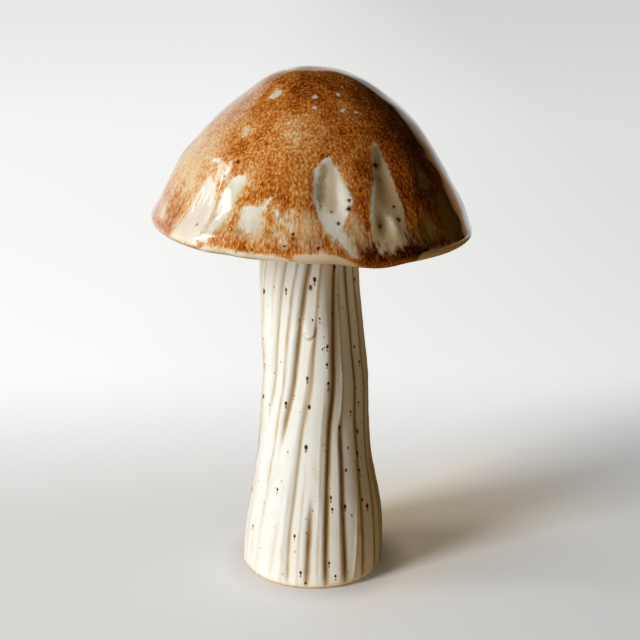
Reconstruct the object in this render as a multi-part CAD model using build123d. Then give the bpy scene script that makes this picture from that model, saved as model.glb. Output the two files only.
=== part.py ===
"""Stoneware mushroom: a fluted hollow stem, a loose cork seat ring and a domed cap that lifts off."""

import os
from math import cos, exp, hypot, pi, radians, sin

from build123d import *

# Millimetres, +Z up, the front towards -Y, the foot's underside on Z = 0.

# Stem: the carved tube flares to the foot and ends in a plain round neck inside the cap.
stem_height = 183.0
stem_waist = 18.6
stem_taper = 3.4
taper_height = 140.0
foot_flare = 6.8
flare_height = 40.0
foot_round = 3.5
lean_left = 1.6
lean_height = 126.0
lean_spread = 22.0
neck_radius = 16.0
neck_length = 17.0
foot_bore_radius = 19.5
neck_bore_radius = 11.0

# Flutes: long cuts that twist up the stem, and short cuts between them near the foot.
flute_count = 12
flute_depth = 1.1
flute_end = 150.0
flute_run_out = 24.0
flute_twist = 30.0
flute_azimuth = 10.0
short_flute_depth = 0.8
short_flute_height = 48.0

# Foot disc: a slab set into a rebate under the stem.
foot_disc_thickness = 6.0
foot_rebate = 1.5

# Seat ring: cork between the neck's top and the ledge in the cap's collar.
seat_thickness = 2.0
seat_inset = 0.6

# Cap: a hollow dome whose depth below the crown grows as a power of the radius.
cap_radius = 61.1
cap_drop = 56.6
cap_power = 2.14
cap_wall = 5.5
crown_flat = 3.0
ledge_to_crown = 15.0
rim_tilt = 2.1
rim_wave = 1.0
rim_wave_count = 5
rim_wave_azimuth = 25.0

# Pressed dents in the cap: azimuth, share of the cap's radius, half angle, half share, depth.
cap_dents = (
    (8.5, 0.85, 15.0, 0.17, 1.9),
    (34.0, 0.82, 15.0, 0.21, 1.7),
    (-45.0, 0.88, 23.0, 0.15, 1.7),
    (-80.0, 0.46, 55.0, 0.22, 1.6),
)

# Collar: the ring inside the crown that holds the cap on the neck.
collar_wall = 5.0
collar_clearance = 0.8
collar_depth = 13.0
ledge_width = 6.0

# Heights and radii that follow from the sizes above.
shoulder_height = stem_height - neck_length
ledge_height = stem_height + seat_thickness
crown_height = ledge_height + ledge_to_crown
collar_bore = neck_radius + collar_clearance
collar_radius = collar_bore + collar_wall
foot_disc_radius = foot_bore_radius + foot_rebate
crown_share = crown_flat / cap_radius

# Round solids stand on their height, centred on the stem's axis.
align = (Align.CENTER, Align.CENTER, Align.MIN)

# Points and evenly spaced sections that carry the carved and pressed forms.
stem_points = flute_count * 8
stem_sections = 13
cap_points = 72
cap_sections = 24
lip_steps = 3


def closed_wire(points):
    """Smooth closed outline with evenly spaced parameters, so that stacked outlines match."""
    count = len(points)
    even = [index / count for index in range(count + 1)]
    return Wire([Edge.make_spline(points, periodic=True, parameters=even)])


def angle_from_front(azimuth):
    """Angle about +Z from +X, for an azimuth counted from the front towards the right."""
    return radians(azimuth - 90.0)


def wrapped(angle):
    """The same angle between -pi and pi."""
    return (angle + pi) % (2.0 * pi) - pi


def swell(distance):
    """Smooth hump: one at the middle, nothing from a distance of one outwards."""
    return (1.0 + cos(pi * min(1.0, abs(distance)))) / 2.0


def crest_radius(height):
    """Radius over the flutes' ridges: waist, slow taper and the flare to the foot."""
    taper = stem_taper * (1.0 - (height / taper_height) ** 2)
    flare = foot_flare * exp(-((height / flare_height) ** 2))
    return stem_waist + taper + flare


def flute_cut(turn, height):
    """Depth cut at an angle from a long flute's bottom, fading out towards the neck."""
    fade = min(1.0, max(0.0, (flute_end - height) / flute_run_out))
    long_cut = flute_depth * fade * (1.0 + cos(flute_count * turn)) / 2.0
    low = max(0.0, 1.0 - height / short_flute_height)
    short_cut = short_flute_depth * low * (1.0 + cos(2.0 * flute_count * turn)) / 2.0
    return long_cut + short_cut


def stem_outline(height):
    """Fluted outline of the stem at one height; its points follow the twist of the flutes."""
    twist = radians(flute_twist) * (height / taper_height) ** 2
    lean = lean_left * exp(-(((height - lean_height) / lean_spread) ** 2))
    points = []
    for index in range(stem_points):
        turn = 2.0 * pi * index / stem_points
        angle = angle_from_front(flute_azimuth) + turn + twist
        radius = crest_radius(height) - flute_cut(turn, height)
        points.append((radius * cos(angle) - lean, radius * sin(angle), height))
    return closed_wire(points)


def cap_outline(share, depth, reach):
    """Closed outline on the cap: share of its radius, depth into the wall, reach past the lip."""
    radius = cap_radius * share
    height = crown_height - cap_drop * share**cap_power
    slope = cap_drop * cap_power * share ** (cap_power - 1.0) / cap_radius
    out, up = slope / hypot(slope, 1.0), 1.0 / hypot(slope, 1.0)
    points = []
    for index in range(cap_points):
        angle = 2.0 * pi * index / cap_points
        inward = depth
        for azimuth, centre, half_angle, half_share, press in cap_dents:
            across = wrapped(angle - angle_from_front(azimuth)) / radians(half_angle)
            along = (share - centre) / half_share
            inward += press * swell(across) * swell(along)
        low = rim_tilt * cos(angle)
        low += rim_wave * cos(rim_wave_count * (angle - angle_from_front(rim_wave_azimuth)))
        distance = radius - inward * out + reach * up
        level = height - inward * up - reach * out - low * (share - crown_share) ** 2
        points.append((distance * cos(angle), distance * sin(angle), level))
    return closed_wire(points)


def even_shares():
    """Shares of the cap's radius at even steps along the dome's profile, without the lip's."""
    steps = [step / cap_sections for step in range(cap_sections + 1)]
    rough = [crown_share + (1.0 - crown_share) * step for step in steps]
    profile = Spline(*[(cap_radius * share, -cap_drop * share**cap_power) for share in rough])
    return [(profile @ step).X / cap_radius for step in steps[:-1]]


def make_stem_tube():
    """Lofted fluted tube: rounded foot edge, round neck, tapered bore and foot rebate."""
    rise = shoulder_height / stem_sections
    tube = Solid.make_loft([stem_outline(rise * step) for step in range(stem_sections + 1)])
    mould = Cylinder(crest_radius(0.0), shoulder_height, align=align)
    tube &= fillet(mould.edges().sort_by(Axis.Z)[0], foot_round)
    tube += Pos(0, 0, shoulder_height) * Cylinder(neck_radius, neck_length, align=align)
    tube -= Cone(foot_bore_radius, neck_bore_radius, stem_height, align=align)
    tube -= Cylinder(foot_disc_radius, foot_disc_thickness, align=align)
    return tube


def make_cap_dome():
    """One closed wall lofted from the inner crown, round the lip, to the outer crown."""
    shares = even_shares()
    inner = [cap_outline(share, cap_wall, 0.0) for share in shares]
    lip = []
    for step in range(lip_steps + 1):
        turn = pi * step / lip_steps
        depth = cap_wall * (1.0 + cos(turn)) / 2.0
        reach = cap_wall * sin(turn) / 2.0
        lip.append(cap_outline(1.0, depth, reach))
    outer = [cap_outline(share, 0.0, 0.0) for share in reversed(shares)]
    return Solid.make_loft(inner + lip + outer)


def make_cap_collar(dome):
    """Ring under the crown: bored to clear the neck, with a ledge that rests on the seat."""
    low = ledge_height - collar_depth
    block = Pos(0, 0, low) * Cylinder(collar_radius, crown_height - low, align=align)
    ring = (block - dome).solids().sort_by(Axis.Z)[0]
    ring -= Pos(0, 0, low) * Cylinder(collar_bore, collar_depth, align=align)
    ring -= Pos(0, 0, low) * Cylinder(collar_bore - ledge_width, crown_height - low, align=align)
    return ring


def make_ring(inner, outer, low, thickness):
    """Plain flat ring standing on a height."""
    ring = Cylinder(outer, thickness, align=align) - Cylinder(inner, thickness, align=align)
    return Pos(0, 0, low) * ring


stem_tube = make_stem_tube()
foot_disc = Cylinder(foot_disc_radius, foot_disc_thickness, align=align)
seat_ring = make_ring(
    neck_bore_radius + seat_inset,
    neck_radius - seat_inset,
    stem_height,
    seat_thickness,
)
cap_dome = make_cap_dome()
cap_collar = make_cap_collar(cap_dome)

os.makedirs("parts", exist_ok=True)
export_step(stem_tube, "parts/stem_tube.step")
export_step(foot_disc, "parts/foot_disc.step")
export_step(seat_ring, "parts/seat_ring.step")
export_step(cap_dome, "parts/cap_dome.step")
export_step(cap_collar, "parts/cap_collar.step")
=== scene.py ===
from math import radians

import bpy
import numpy as np
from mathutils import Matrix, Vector


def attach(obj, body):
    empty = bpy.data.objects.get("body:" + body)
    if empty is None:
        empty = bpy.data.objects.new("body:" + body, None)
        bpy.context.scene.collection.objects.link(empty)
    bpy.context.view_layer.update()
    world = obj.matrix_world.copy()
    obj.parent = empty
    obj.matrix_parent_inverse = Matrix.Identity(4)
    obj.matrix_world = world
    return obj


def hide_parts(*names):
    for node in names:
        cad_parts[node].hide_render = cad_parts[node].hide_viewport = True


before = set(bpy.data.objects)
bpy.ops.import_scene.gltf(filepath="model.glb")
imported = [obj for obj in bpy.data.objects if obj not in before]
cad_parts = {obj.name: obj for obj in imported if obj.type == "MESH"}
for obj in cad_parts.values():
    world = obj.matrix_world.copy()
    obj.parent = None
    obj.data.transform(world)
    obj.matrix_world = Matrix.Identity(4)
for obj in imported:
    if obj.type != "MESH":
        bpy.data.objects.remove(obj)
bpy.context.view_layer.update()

bl_info = {
    "name": "Glazed Mushroom",
    "version": (1, 0, 0),
    "blender": (4, 5, 0),
    "location": "3D View > Sidebar > Mushroom",
    "description": "Builds a stoneware mushroom: carved stem, glazed cap, cork seat and studio",
    "category": "Mesh",
}

# Azimuths are degrees from the front (-Y) towards the right (+X).
# Shares run from the middle of the cap's crown, 0, to its rim, 1. Lengths are metres.

# Cuts on the front half of the stem, repeated on the back half: azimuth at the foot, at the middle
# and at the top, height where it starts, height where it ends, depth, and the strength of the brown in
# the crease, which is glaze that pools there and painted shade.
CARVED_FLUTES = (
    (-104.0, -100.0, -86.0, 0.000, 0.170, 0.0008, 0.50),
    (-92.0, -86.0, -66.0, 0.000, 0.170, 0.0006, 0.30),
    (-84.0, -70.0, -47.0, 0.000, 0.170, 0.0003, 0.10),
    (-78.0, -64.0, -36.0, 0.000, 0.170, 0.0002, 0.05),
    (-77.0, -54.0, -24.0, 0.058, 0.170, 0.0009, 0.35),
    (-68.0, -42.0, -9.0, 0.000, 0.170, 0.0003, 0.10),
    (-58.0, -29.5, 5.0, 0.050, 0.170, 0.0012, 0.70),
    (-58.0, -29.5, 5.0, 0.000, 0.070, 0.0003, 0.10),
    (-52.0, -42.0, -34.0, 0.000, 0.030, 0.0003, 0.15),
    (-38.0, -23.0, -15.0, 0.000, 0.036, 0.0004, 0.30),
    (-21.0, -10.0, 24.0, 0.000, 0.112, 0.0008, 0.40),
    (-5.5, -1.0, -0.5, 0.000, 0.042, 0.0008, 0.80),
    (10.5, 17.5, 37.0, 0.000, 0.170, 0.0010, 0.90),
    (26.5, 29.0, 34.0, 0.000, 0.076, 0.0011, 0.80),
    (43.5, 51.0, 53.0, 0.000, 0.170, 0.0008, 0.70),
    (60.0, 67.0, 66.0, 0.000, 0.170, 0.0006, 0.50),
)
# Heights of the middle and the top azimuth, and the length over which a line fades.
FLUTE_MIDDLE = 0.070
FLUTE_TOP = 0.135
FLUTE_FADE = 0.020

# Widths of a cut's steep left side, of its gentle right side and of the brown in it, which is glaze
# that pools there and painted shade.
STEEP_SIDE = 0.0014
GENTLE_SIDE = 0.0034
STAIN_AND_SHADE_WIDTH = 0.0012
# Power of the distance that a cut's bell falls by, the share of its depth left at the foot, and the
# height where it is whole.
CUT_POWER = 1.4
FOOT_CUT = 0.35
FOOT_RUN_IN = 0.008

# Ridges where the stem's glaze runs thin: azimuth at the foot, at the middle and at the top, height
# where it starts, height where it ends, rise.
THIN_RIDGES = (
    (-77.0, -72.0, -55.5, 0.000, 0.170, 0.00030),
    (-62.0, -57.0, -37.0, 0.080, 0.170, 0.00015),
    (-53.0, -40.0, -10.5, 0.000, 0.170, 0.00030),
    (-30.0, -9.0, 16.0, 0.060, 0.170, 0.00030),
    (21.0, 29.5, 42.0, 0.024, 0.170, 0.00025),
    (44.0, 48.0, 55.0, 0.070, 0.170, 0.00030),
    (33.0, 48.0, 48.0, 0.000, 0.040, 0.00030),
    (-28.0, -20.0, -8.0, 0.000, 0.050, 0.00015),
    (-14.0, -6.0, 10.0, 0.000, 0.060, 0.00015),
    (2.0, 8.0, 20.0, 0.000, 0.090, 0.00015),
)
# Width of a ridge.
RIDGE = 0.0007

# Thick drop of glaze on the stem: azimuth, height of its lower end, half width, rise.
GLAZE_DROP = (-3.5, 0.1003, 0.0031, 0.0009)
# Its form, counted in its half width: the steep lower lip, the fade upwards, the width of the brown
# line under it, a painted shadow with some glaze that pools there, and where that line ends at the
# sides; the line's strength and the power that rounds the drop.
DROP_LIP = (-0.1, 0.3)
DROP_FADE = (1.0, 4.0)
DROP_SHADE_WIDTH = 0.25
DROP_SHADE_ENDS = (0.7, 1.1)
DROP_STAIN_AND_SHADE = 0.30
DROP_ROUND = 0.6

# Flattened places on the stem: azimuth, half angle, height, half height, depth; a negative depth swells.
STEM_FLATS = (
    (44.0, 34.0, 0.115, 0.085, 0.0020),
    (84.0, 55.0, 0.027, 0.022, -0.0010),
    (84.0, 55.0, 0.000, 0.010, 0.0008),
)

# Sideways drifts of the stem: height, spread, shift to the right.
STEM_SWAYS = ((0.126, 0.022, -0.0016), (0.081, 0.012, 0.0008), (0.050, 0.026, 0.0004))

# Pressed forms of the cap that the whole wall follows, and smaller ones in its outer face:
# azimuth, share, half angle, half share, depth; a negative depth swells.
WALL_DENTS = (
    (8.5, 0.85, 15.0, 0.17, 0.0019),
    (34.0, 0.82, 15.0, 0.21, 0.0017),
    (-45.0, 0.88, 23.0, 0.15, 0.0017),
    (-80.0, 0.46, 55.0, 0.22, 0.0016),
)
FACE_DENTS = (
    (82.0, 0.66, 55.0, 0.22, -0.0009),
    (-77.0, 0.79, 38.0, 0.13, -0.0007),
    (94.0, 1.00, 35.0, 0.07, 0.0010),
    (3.0, 0.81, 4.5, 0.12, 0.0006),
    (8.0, 0.81, 7.0, 0.13, 0.0006),
    (14.0, 0.84, 4.0, 0.12, -0.0005),
    (33.5, 0.76, 7.0, 0.12, 0.0006),
    (27.0, 0.91, 4.5, 0.05, 0.0006),
    (31.0, 0.93, 3.0, 0.06, -0.0003),
    (-40.5, 0.88, 2.6, 0.11, -0.0004),
    (-51.5, 0.89, 2.4, 0.07, -0.0004),
    (-43.5, 0.89, 4.0, 0.06, 0.0006),
    (-22.0, 0.92, 6.0, 0.05, 0.0004),
    (45.0, 0.94, 5.0, 0.05, 0.0006),
    (-34.0, 0.985, 17.0, 0.055, -0.0010),
)

# Places where the rim hangs lower: azimuth, half angle, drop.
RIM_DROPS = (
    (58.0, 26.0, 0.0010),
    (24.0, 11.0, 0.0006),
    (-30.0, 9.0, -0.0004),
    (7.0, 9.0, -0.0006),
    (-50.0, 32.0, -0.0014),
)

# Outlines of pools in the cap's glaze: rows of share, left border and right border.
CREAM_POOLS = (
    (
        (0.695, 6.5, 8.5), (0.74, 1.0, 11.5), (0.84, 0.3, 16.3),
        (0.90, 2.3, 12.2), (0.935, 5.0, 11.3), (1.0, 12.0, 15.0),
    ),
    (
        (0.80, -49.2, -47.8), (0.83, -51.5, -42.6), (0.89, -53.0, -39.8),
        (0.95, -53.5, -38.8), (1.03, -56.0, -41.0),
    ),
    (
        (0.78, -33.0, -29.0), (0.80, -35.5, -27.6), (0.85, -39.0, -30.7),
        (0.92, -38.3, -32.0), (1.0, -41.0, -36.5),
    ),
    ((0.88, -26.5, -19.0), (0.90, -27.0, -18.3), (0.94, -25.6, -18.3), (0.96, -22.5, -18.5)),
    ((0.848, -16.4, -15.4), (0.89, -19.5, -17.0)),
    ((0.88, -7.2, -6.4), (0.935, -8.0, -7.2)),
    ((0.89, -10.2, -9.2), (0.94, -7.8, -7.0)),
    ((0.885, -14.0, -12.6), (0.905, -12.8, -11.4), (0.93, -10.2, -9.2)),
    ((0.955, -11.6, -10.4), (0.985, -10.0, -9.0)),
    ((0.945, -72.0, -68.0), (0.975, -70.5, -65.5)),
    ((0.735, -39.8, -38.6), (0.80, -40.6, -38.8)),
    ((0.735, -51.0, -46.0), (0.75, -51.5, -45.5)),
    ((0.36, -36.0, -30.0), (0.39, -38.0, -28.5), (0.415, -39.0, -33.0)),
    ((0.595, -39.8, -38.8), (0.63, -39.4, -37.6)),
    ((0.11, -90.0, -58.0), (0.14, -92.0, -56.0), (0.17, -84.0, -62.0)),
    ((1.00, -2.0, 5.0), (1.015, -5.0, 10.0), (1.03, -6.0, 13.0), (1.05, -7.0, 15.0)),
    ((1.025, -38.0, -11.0), (1.05, -42.0, -4.0)),
    ((0.74, 28.3, 29.3), (0.78, 26.8, 28.3), (0.84, 23.5, 25.3), (0.89, 21.8, 23.2)),
    ((0.89, 28.6, 29.8), (0.915, 29.2, 31.2), (0.94, 30.0, 32.0)),
)
# Brown pools: the first, on the right of the lip's underside, is a painted reflection of the floor;
# the second is one where the pale glaze is thin and brown.
TAWNY_POOLS = (
    ((1.00, 43.0, 58.0), (1.015, 38.0, 66.0), (1.05, 36.0, 70.0)),
    (
        (0.64, 33.0, 34.3), (0.675, 30.0, 35.6), (0.78, 26.8, 37.6),
        (0.88, 21.8, 37.6), (0.935, 20.7, 35.2), (0.985, 22.5, 31.5),
    ),
)
# Thin places in the pools where the warm clay shows through.
BEIGE_POOLS = (
    ((0.705, 7.0, 9.0), (0.755, 5.8, 10.3), (0.845, 5.0, 10.3), (0.88, 5.5, 8.5)),
    ((0.82, -51.0, -49.0), (0.93, -55.0, -48.5), (0.96, -54.0, -50.0)),
    ((1.00, -4.0, 10.0), (1.02, -7.0, 16.0), (1.05, -8.0, 22.0)),
)
# A thin pool that the clay tints pink.
BLUSH_POOLS = (
    (
        (0.805, -49.0, -47.5), (0.84, -51.5, -44.0), (0.89, -53.0, -42.0),
        (0.95, -54.0, -42.0), (1.02, -56.0, -43.0),
    ),
)
# Olive in the pools' hollows: thick glaze there, and painted shade on the dents' shaded walls.
OLIVE_POOLS = (
    ((0.72, 3.5, 6.5), (0.75, 3.0, 6.5), (0.795, 2.2, 5.4), (0.84, 1.8, 4.8), (0.87, 2.6, 4.0)),
    ((0.66, 31.0, 34.0), (0.70, 29.8, 35.5), (0.74, 29.5, 33.0)),
    ((0.895, 25.3, 27.6), (0.925, 23.4, 27.0), (0.945, 23.0, 25.5)),
)
# Patches of dark moss-coloured glaze.
MOSS_POOLS = (
    ((0.78, 51.5, 55.0), (0.822, 49.0, 57.2), (0.837, 51.0, 54.5)),
    ((0.905, 46.5, 47.5), (0.932, 42.2, 48.3), (0.963, 39.5, 48.5), (0.978, 40.0, 48.0)),
    ((0.86, 58.0, 62.0), (0.92, 54.0, 64.0), (0.985, 54.0, 66.0)),
)
# Straw-coloured runs where the two glazes meet.
STRAW_POOLS = (
    ((0.886, -3.2, -1.8), (0.91, -4.2, 0.2), (0.945, -4.0, 1.0), (0.961, -2.0, 0.0)),
    ((0.886, 14.4, 16.5), (0.92, 13.1, 17.6), (0.955, 12.8, 17.0)),
    ((0.725, -64.0, -60.0), (0.77, -63.0, -58.0), (0.83, -62.5, -57.3), (0.89, -61.5, -58.5)),
)
# Turns about the axis at which the pools repeat, kept where they stay out of the front.
POOL_TURNS = (128.0, 236.0)
FRONT = 78.0
# How far out a pool is felt, how far in its first and last row lie, and the length of the dome's profile.
POOL_REACH = 0.004
POOL_END = 0.0002
PROFILE_LENGTH = 0.10
# The pools by the name of the cap's value that holds the distance to them.
POOLS = {
    "cream": CREAM_POOLS,
    "tawny": TAWNY_POOLS,
    "beige": BEIGE_POOLS,
    "blush": BLUSH_POOLS,
    "olive": OLIVE_POOLS,
    "moss": MOSS_POOLS,
    "straw": STRAW_POOLS,
}

# Places where the cap's glaze is paler, or darker: azimuth, share, half angle, half share, strength.
# The darker clouds on the right side and on its rim are painted shade, and the pale cloud at the left
# edge is a painted sheen.
TONE_CLOUDS = (
    (-10.0, 0.61, 18.0, 0.15, 0.21),
    (-28.0, 0.77, 13.0, 0.11, 0.10),
    (-4.0, 0.82, 12.0, 0.10, -0.05),
    (-14.0, 0.97, 24.0, 0.12, 0.05),
    # Painted sheen at the left edge.
    (-74.0, 0.78, 15.0, 0.15, 0.14),
    (-62.0, 0.78, 52.0, 0.50, 0.15),
    (-68.0, 0.78, 22.0, 0.22, 0.10),
    (-50.0, 0.74, 16.0, 0.10, 0.08),
    (-37.0, 0.68, 9.0, 0.08, -0.14),
    (10.0, 0.26, 70.0, 0.26, -0.06),
    # Painted shade on the right side, which turns away from the light.
    (62.0, 0.65, 46.0, 0.60, -0.34),
    (21.0, 0.84, 6.0, 0.20, -0.16),
    (-64.0, 0.94, 10.0, 0.12, -0.14),
    (-2.0, 0.975, 12.0, 0.05, -0.16),
    (20.0, 0.99, 14.0, 0.06, -0.15),
    # Painted shade on the right of the rim.
    (34.0, 1.00, 30.0, 0.08, -0.40),
    (6.0, 0.32, 50.0, 0.26, -0.12),
    (16.0, 0.62, 14.0, 0.14, -0.06),
)

# Small pale spots on the crown: azimuth, share, radius.
CROWN_SPOTS = (
    (2.0, 0.400, 0.0010),
    (22.5, 0.385, 0.0011),
    (2.0, 0.470, 0.0008),
    (21.5, 0.485, 0.0010),
    (30.5, 0.500, 0.0008),
    (31.0, 0.330, 0.0005),
    (-14.0, 0.560, 0.0006),
)

# Larger dark iron specks on the cap: azimuth, share, radius.
CAP_SPECKS = (
    (-23.5, 0.655, 0.0005),
    (-45.0, 0.720, 0.0004),
    (-35.5, 0.735, 0.0007),
    (-41.0, 0.770, 0.0005),
    (-40.0, 0.790, 0.0006),
    (-44.5, 0.955, 0.0005),
    (-40.5, 1.000, 0.0004),
    (-68.0, 0.995, 0.0006),
    (-13.5, 0.950, 0.0004),
    (-6.5, 0.950, 0.0006),
    (-9.0, 0.985, 0.0005),
    (-19.5, 1.000, 0.0005),
    (7.0, 0.690, 0.0004),
    (14.5, 0.840, 0.0006),
    (14.0, 0.865, 0.0009),
    (7.5, 0.875, 0.0005),
    (9.5, 0.910, 0.0007),
    (2.0, 0.985, 0.0007),
    (30.5, 0.725, 0.0010),
    (31.5, 0.770, 0.0004),
    (33.5, 0.865, 0.0007),
    (33.5, 0.905, 0.0009),
    (25.0, 0.915, 0.0006),
    (-3.5, 0.630, 0.0004),
    (16.5, 0.990, 0.0005),
)

# Larger dark iron specks on the stem: azimuth, height, radius.
STEM_SPECKS = (
    (7.0, 0.1235, 0.0008),
    (-27.0, 0.1190, 0.0006),
    (35.0, 0.1270, 0.0007),
    (28.0, 0.1125, 0.0005),
    (26.0, 0.1095, 0.0005),
    (10.0, 0.1085, 0.0004),
    (2.0, 0.1080, 0.0004),
    (-1.0, 0.1025, 0.0004),
    (16.0, 0.0975, 0.0006),
    (14.0, 0.0905, 0.0005),
    (-69.0, 0.0865, 0.0006),
    (-8.0, 0.0850, 0.0006),
    (14.0, 0.0830, 0.0006),
    (62.0, 0.0880, 0.0005),
    (50.0, 0.0875, 0.0005),
    (-24.0, 0.0775, 0.0004),
    (-32.0, 0.0740, 0.0006),
    (57.0, 0.0720, 0.0005),
    (43.0, 0.0695, 0.0005),
    (28.0, 0.0645, 0.0006),
    (-8.0, 0.0575, 0.0008),
    (37.0, 0.0555, 0.0005),
    (50.0, 0.0520, 0.0007),
    (33.0, 0.0470, 0.0007),
    (51.0, 0.0450, 0.0005),
    (-36.0, 0.0390, 0.0005),
    (16.0, 0.0370, 0.0006),
    (17.0, 0.0325, 0.0005),
    (30.0, 0.0325, 0.0007),
    (50.0, 0.0330, 0.0005),
    (55.0, 0.0300, 0.0008),
    (-16.0, 0.0220, 0.0006),
    (-63.0, 0.0200, 0.0005),
    (13.0, 0.0110, 0.0005),
    (-10.0, 0.0075, 0.0006),
    (18.0, 0.0055, 0.0005),
    (-6.0, 0.0030, 0.0006),
)

# Thick pale glaze low on the left of the stem: azimuth, cosines of the angle from it where the glaze is
# thin and thick, heights where it starts to thin and where it ends.
PALE_FOOT = (-62.0, 0.75, 0.95, 0.015, 0.060)
# Shares of the creases' brown, glaze and painted shade, and of the thin ridges that it hides.
PALE_STAIN_AND_SHADE = 0.6
PALE_RIDGE = 0.7

# Heights over which the foot's edge is wiped clean, and over which the glaze ends under the neck.
WIPED_EDGE = (0.0002, 0.0012)
GLAZE_END = 0.002

# Uneven surfaces: height of the ripples, their wavelength and the seed of their draw.
STEM_RIPPLES = ((0.00010, 0.024, 3), (0.00003, 0.007, 4))
GLAZE_LINE_RIPPLES = ((0.0010, 0.020, 5),)
CAP_RIPPLES = ((0.00018, 0.030, 11), (0.00004, 0.011, 12))

# Power of the share by which the rim's drops fade towards the crown.
RIM_POWER = 8

# Bands of the cap by share: where runs are drawn out, where strands come in, and the lip, which stills
# both by an amount. The inside's glaze takes over between two shares of the wall.
DRIP_BAND = (0.88, 0.96)
STRAND_BAND = (0.45, 0.90)
LIP_BAND = (0.965, 1.010)
LIP_CALM = 0.85
INSIDE_BAND = (0.35, 0.90)

# The flat map of the cap: the share that it reaches, its steps, and where it slows and by how much.
FLOW_REACH = 1.1
FLOW_STEPS = 440
FLOW_SLOWS = (0.55, 1.05)
FLOW_SLOWER = 0.5
# The tube map of the cap: its radius as a share of the cap's, and its pace down the dome.
STRAND_RADIUS = 0.9
STRAND_PACE = 0.2

# Points round the cap and the small pieces, round the stem, and on a rounded corner.
AROUND = 480
STEM_AROUND = 600
CORNER_POINTS = 5

# Waves in a ripple, and the least and most times that one fits into the wavelength.
WAVES = 16
WAVE_SPREAD = (0.7, 1.4)

# Rows of the stem: under the foot, round its edge, up the wall, gathered at the glaze drop over a span
# of its half width, up the neck and down the hollow.
UNDER_ROWS = 4
EDGE_ROWS = 9
WALL_ROWS = 108
DROP_ROWS = 12
DROP_SPAN = (-0.5, 1.0)
NECK_ROWS = 7
HOLLOW_ROWS = 9

# Rows of the cap: on its inner face from a share outwards, round its lip, and on its outer face,
# gathered towards the rim by a power.
INNER_ROWS = 26
INNER_START = 0.04
LIP_ROWS = 15
OUTER_ROWS = 142
OUTER_POWER = 0.92

# Rounding of small edges, the share of it at an edge's middle row, and the step over the stem's shoulder.
SOFT_EDGE = 0.0006
SOFT_DISC = 0.0005
SOFT_SEAT = 0.0004
SOFT_MIDDLE = 0.3
SHOULDER_STEP = 0.6

# Turning marks under the foot disc: depth, spacing, and the distances from the edge where they start.
TURNING_DEPTH = 0.00012
TURNING_PITCH = 0.0021
TURNING_EDGE = (0.001, 0.004)
# Rows of the disc's underside and of its top, and the radius of the smallest one.
DISC_ROWS = 40
DISC_TOP_ROWS = 8
DISC_MIDDLE = 0.0005

# The collar's rows under the dome, and how deep its clay is pressed into the dome.
COLLAR_ROWS = 8
COLLAR_BED = 0.0008

# Least size of a scattered freckle, as a share of its cell.
LEAST_FRECKLE = 0.0001

# Floor: half its side, and its gap under the foot.
FLOOR_REACH = 12.0
FLOOR_GAP = 0.00005

# The floor's glow: the distance where it starts to rise all round, the places to the left and right
# between which it weakens, by a share a metre, and the shares that it loses towards the key lamp,
# beside the stem and at the foot.
GLOW_START = 0.13
SIDE_RANGE = (-0.12, 0.30)
SIDE_LOSS = 0.5
KEY_LOSS = 0.6
# The losses beside the stem and at the foot paint the floor's shadow there.
STEM_LOSS = 0.30
FOOT_LOSS = 0.35
# The way across the shadow's band.
ACROSS_SHADOW = (-0.6, 0.8)

# Light that the floor throws on the object: how its lit side's border leans with the way back and where
# that stops, and the strengths of the lifts round the foot and behind.
BORDER_LEAN = 1.1
BORDER_STOP = 0.05
FOOT_LIFT = 0.36
BACK_LIFT = 0.35

# Lamps: width, length and place; what they face; the way from the object to the key lamp.
KEY_LAMP = (0.55, 1.30, (-1.59, -1.09, 1.04))
WINDOW_LAMP = (0.17, 0.34, (-1.06, 0.06, 0.68))
LAMP_TARGET = (0.0, 0.0, 0.10)
TO_KEY = (-0.82, -0.57)

# Camera: width of its sensor in millimetres, and where its view starts.
SENSOR = 36.0
NEAR_CLIP = 0.01


def length(name, description, value):
    """A size in metres for a property group."""
    return bpy.props.FloatProperty(
        name=name, description=description, default=value, min=0.0, precision=4, unit="LENGTH"
    )


def amount(name, description, value, **settings):
    """A plain number for a property group."""
    return bpy.props.FloatProperty(name=name, description=description, default=value, **settings)


def tint(name, description, value):
    """A colour for a property group."""
    return bpy.props.FloatVectorProperty(
        name=name, description=description, default=value, size=3, min=0.0, max=1.0, subtype="COLOR"
    )


class StemSizes(bpy.types.PropertyGroup):
    """Sizes of the carved stem, its foot and the cork seat on its neck."""

    height: length("Height", "Foot to the top of the neck", 0.183)
    shoulder: length("Shoulder", "Height where the neck begins", 0.166)
    waist: length("Waist", "Radius over the ridges below the cap", 0.0186)
    taper: length("Taper", "Growth of the radius from the taper height to the foot", 0.0034)
    taper_height: length("Taper Height", "Height that the taper is counted from", 0.140)
    flare: length("Flare", "Extra radius at the foot", 0.0068)
    flare_height: length("Flare Height", "Height over which the foot flares", 0.040)
    foot_round: length("Foot Rounding", "Rounding under the foot's edge", 0.0035)
    neck: length("Neck Radius", "Radius of the plain neck", 0.016)
    neck_bore: length("Neck Bore", "Radius of the hollow at the neck", 0.011)
    foot_bore: length("Foot Bore", "Radius of the hollow at the foot", 0.0195)
    disc: length("Disc Radius", "Radius of the foot disc", 0.021)
    disc_depth: length("Disc Depth", "Thickness of the foot disc", 0.006)
    glaze_line: length("Glaze Line", "Height where the stem's glaze stops", 0.158)
    seat_inner: length("Seat Hole", "Inner radius of the cork seat", 0.0116)
    seat_outer: length("Seat Radius", "Outer radius of the cork seat", 0.0154)
    seat_depth: length("Seat Thickness", "Thickness of the cork seat", 0.002)


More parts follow.
